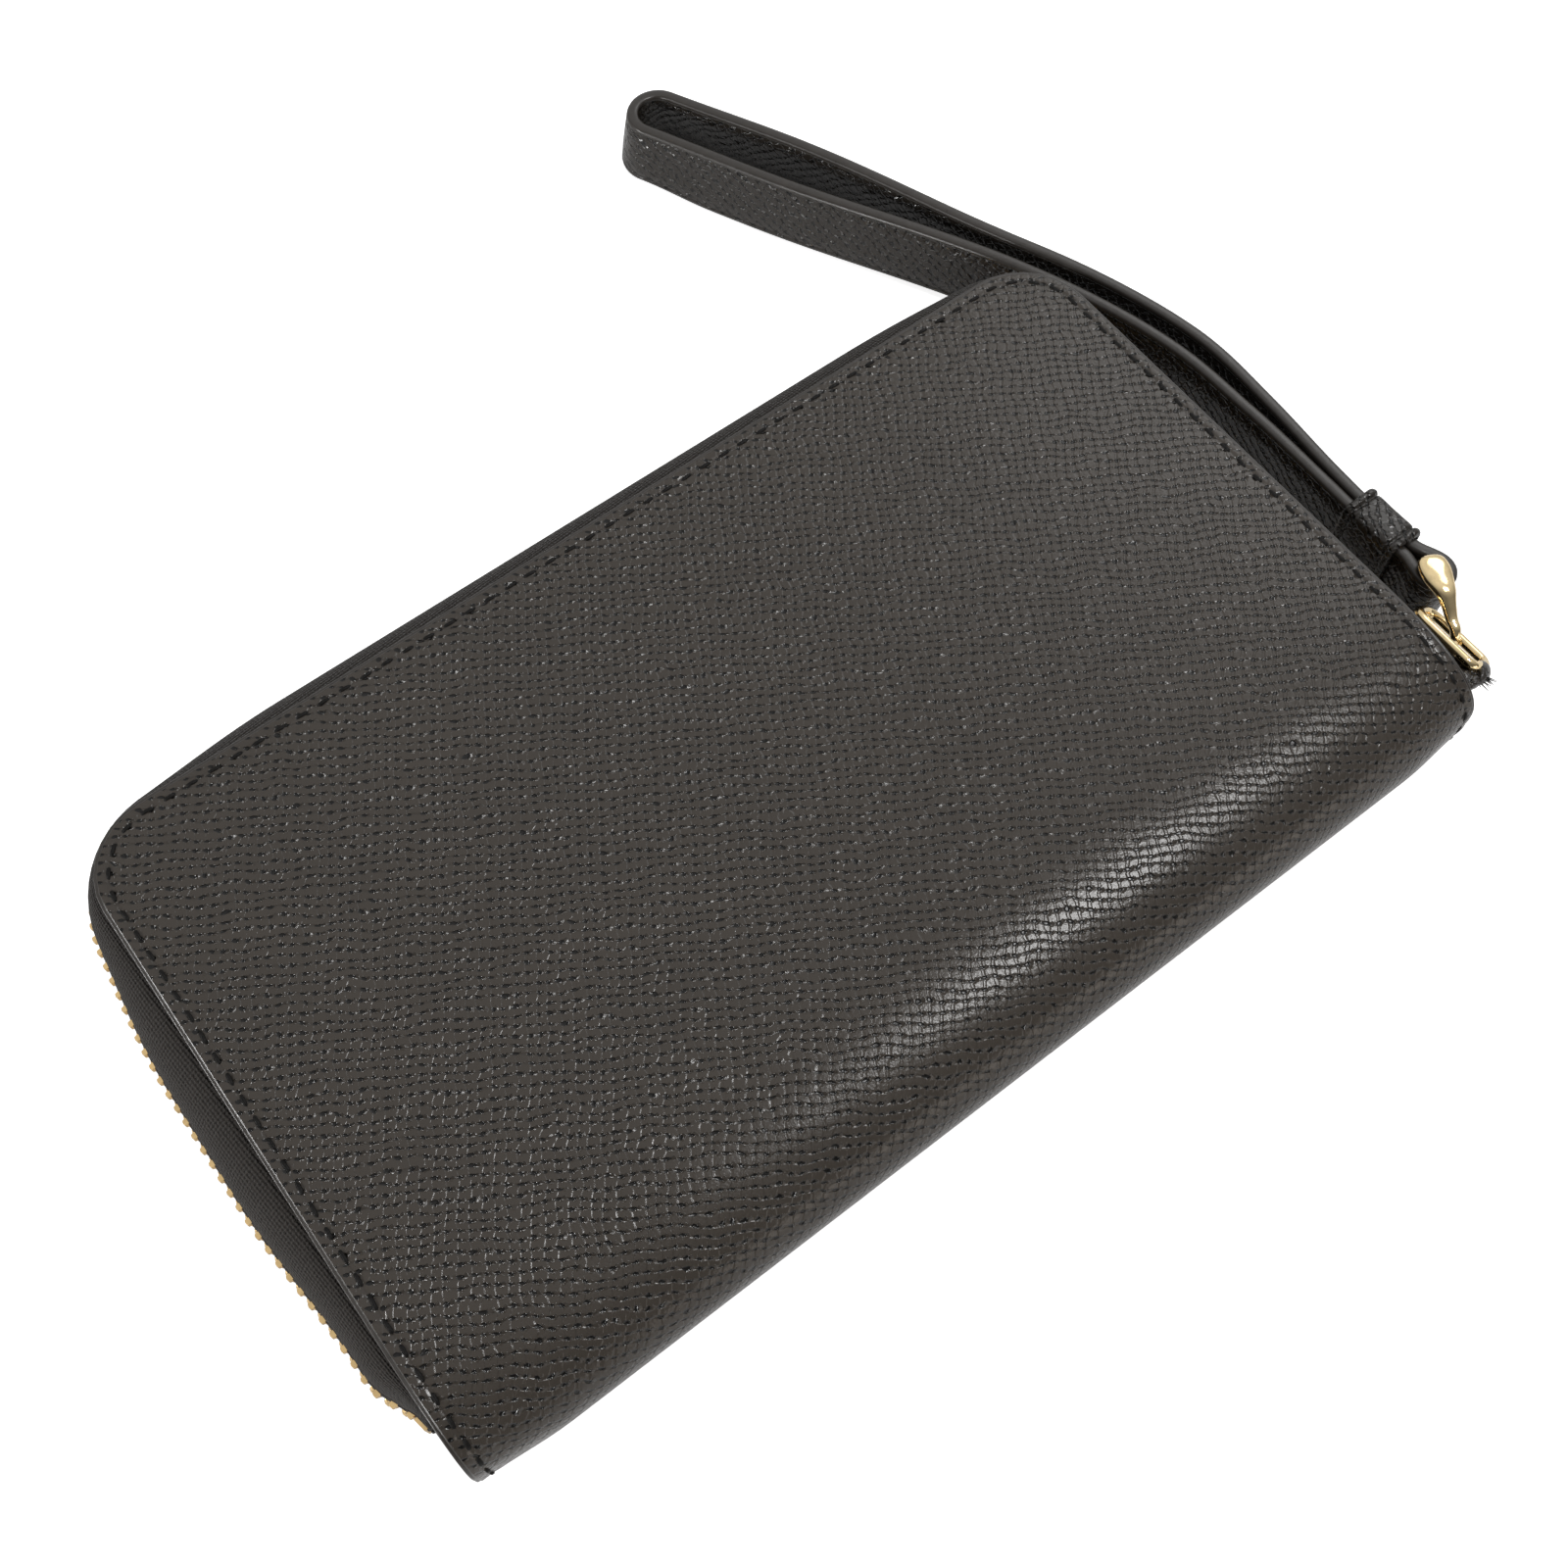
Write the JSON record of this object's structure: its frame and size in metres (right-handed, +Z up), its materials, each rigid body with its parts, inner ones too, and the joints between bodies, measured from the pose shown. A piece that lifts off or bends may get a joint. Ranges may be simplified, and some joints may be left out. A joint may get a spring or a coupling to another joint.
{
  "type": "wristlet wallet",
  "caption": "Slim zip-around leather wristlet wallet with a rounded spine, card pockets inside and a thin wrist strap on a ring at one end.",
  "frame": {"origin": "middle of the back cover's flat outer face, which the wallet lies on", "axes": "+X along the spine towards the wrist strap, +Y from the spine to the far zip edge, +Z up from the back cover to the front cover"},
  "size_m": [0.2022, 0.1815, 0.022],
  "materials": {
    "cover_leather": "cross-grain embossed black leather, soft sheen",
    "pocket_leather": "thin smooth black leather",
    "lining_cloth": "plain woven lining",
    "stiffening_board": "plain board, hidden between leather and lining",
    "zip_cloth": "black woven zip tape",
    "zip_metal": "warm brass teeth, polished",
    "pale_gold": "bright pale gold plating"
  },
  "bodies": {
    "back": {"back_leather": "cover_leather", "back_board": "stiffening_board", "back_lining": "lining_cloth", "card_pocket_1": "pocket_leather", "card_pocket_2": "pocket_leather", "card_pocket_3": "pocket_leather", "lower_zip_tape": "zip_cloth", "lower_zip_chain": "zip_metal", "lower_top_stop": "zip_metal", "zip_end_stop": "zip_metal", "ring_tab": "cover_leather"},
    "front": {"front_leather": "cover_leather", "front_board": "stiffening_board", "front_lining": "lining_cloth", "slip_pocket": "lining_cloth", "upper_zip_tape": "zip_cloth", "upper_zip_chain": "zip_metal", "upper_top_stop": "zip_metal"},
    "slider": {"zip_slider": "pale_gold"},
    "pull": {"zip_pull": "pale_gold"},
    "ring": {"d_ring": "pale_gold"},
    "link": {"strap_link": "pale_gold"},
    "strap": {"wrist_strap": "cover_leather", "strap_keeper": "cover_leather"}
  },
  "joints": [
    {"name": "cover_open", "type": "hinge", "parent": "back", "child": "front", "pos_m": [0, -0.052, 0.011], "axis": [1, 0, 0], "range_deg": [0, 170]},
    {"name": "zip_slide", "type": "slide", "parent": "back", "child": "slider", "axis": [0, 1, 0], "range_m": [0, 0.045], "deforming": ["lower_zip_chain", "upper_zip_chain"]},
    {"name": "pull_swing", "type": "hinge", "parent": "slider", "child": "pull", "pos_m": [0.09405, -0.02107, 0.011], "axis": [0, 0, -1], "range_deg": [0, 14]},
    {"name": "ring_swing", "type": "hinge", "parent": "back", "child": "ring", "pos_m": [0.0956, -0.0451, 0.0132], "axis": [0.7431, 0, -0.6691], "range_deg": [0, 75]},
    {"name": "link_swing", "type": "hinge", "parent": "ring", "child": "link", "pos_m": [0.09809, -0.03757, 0.01096], "axis": [0.2296, -0.9511, -0.2068], "range_deg": [0, 45]},
    {"name": "strap_swing", "type": "hinge", "parent": "link", "child": "strap", "pos_m": [0.10232, -0.02963, 0.0081], "axis": [0, 0, -1], "range_deg": [0, 70]}
  ]
}
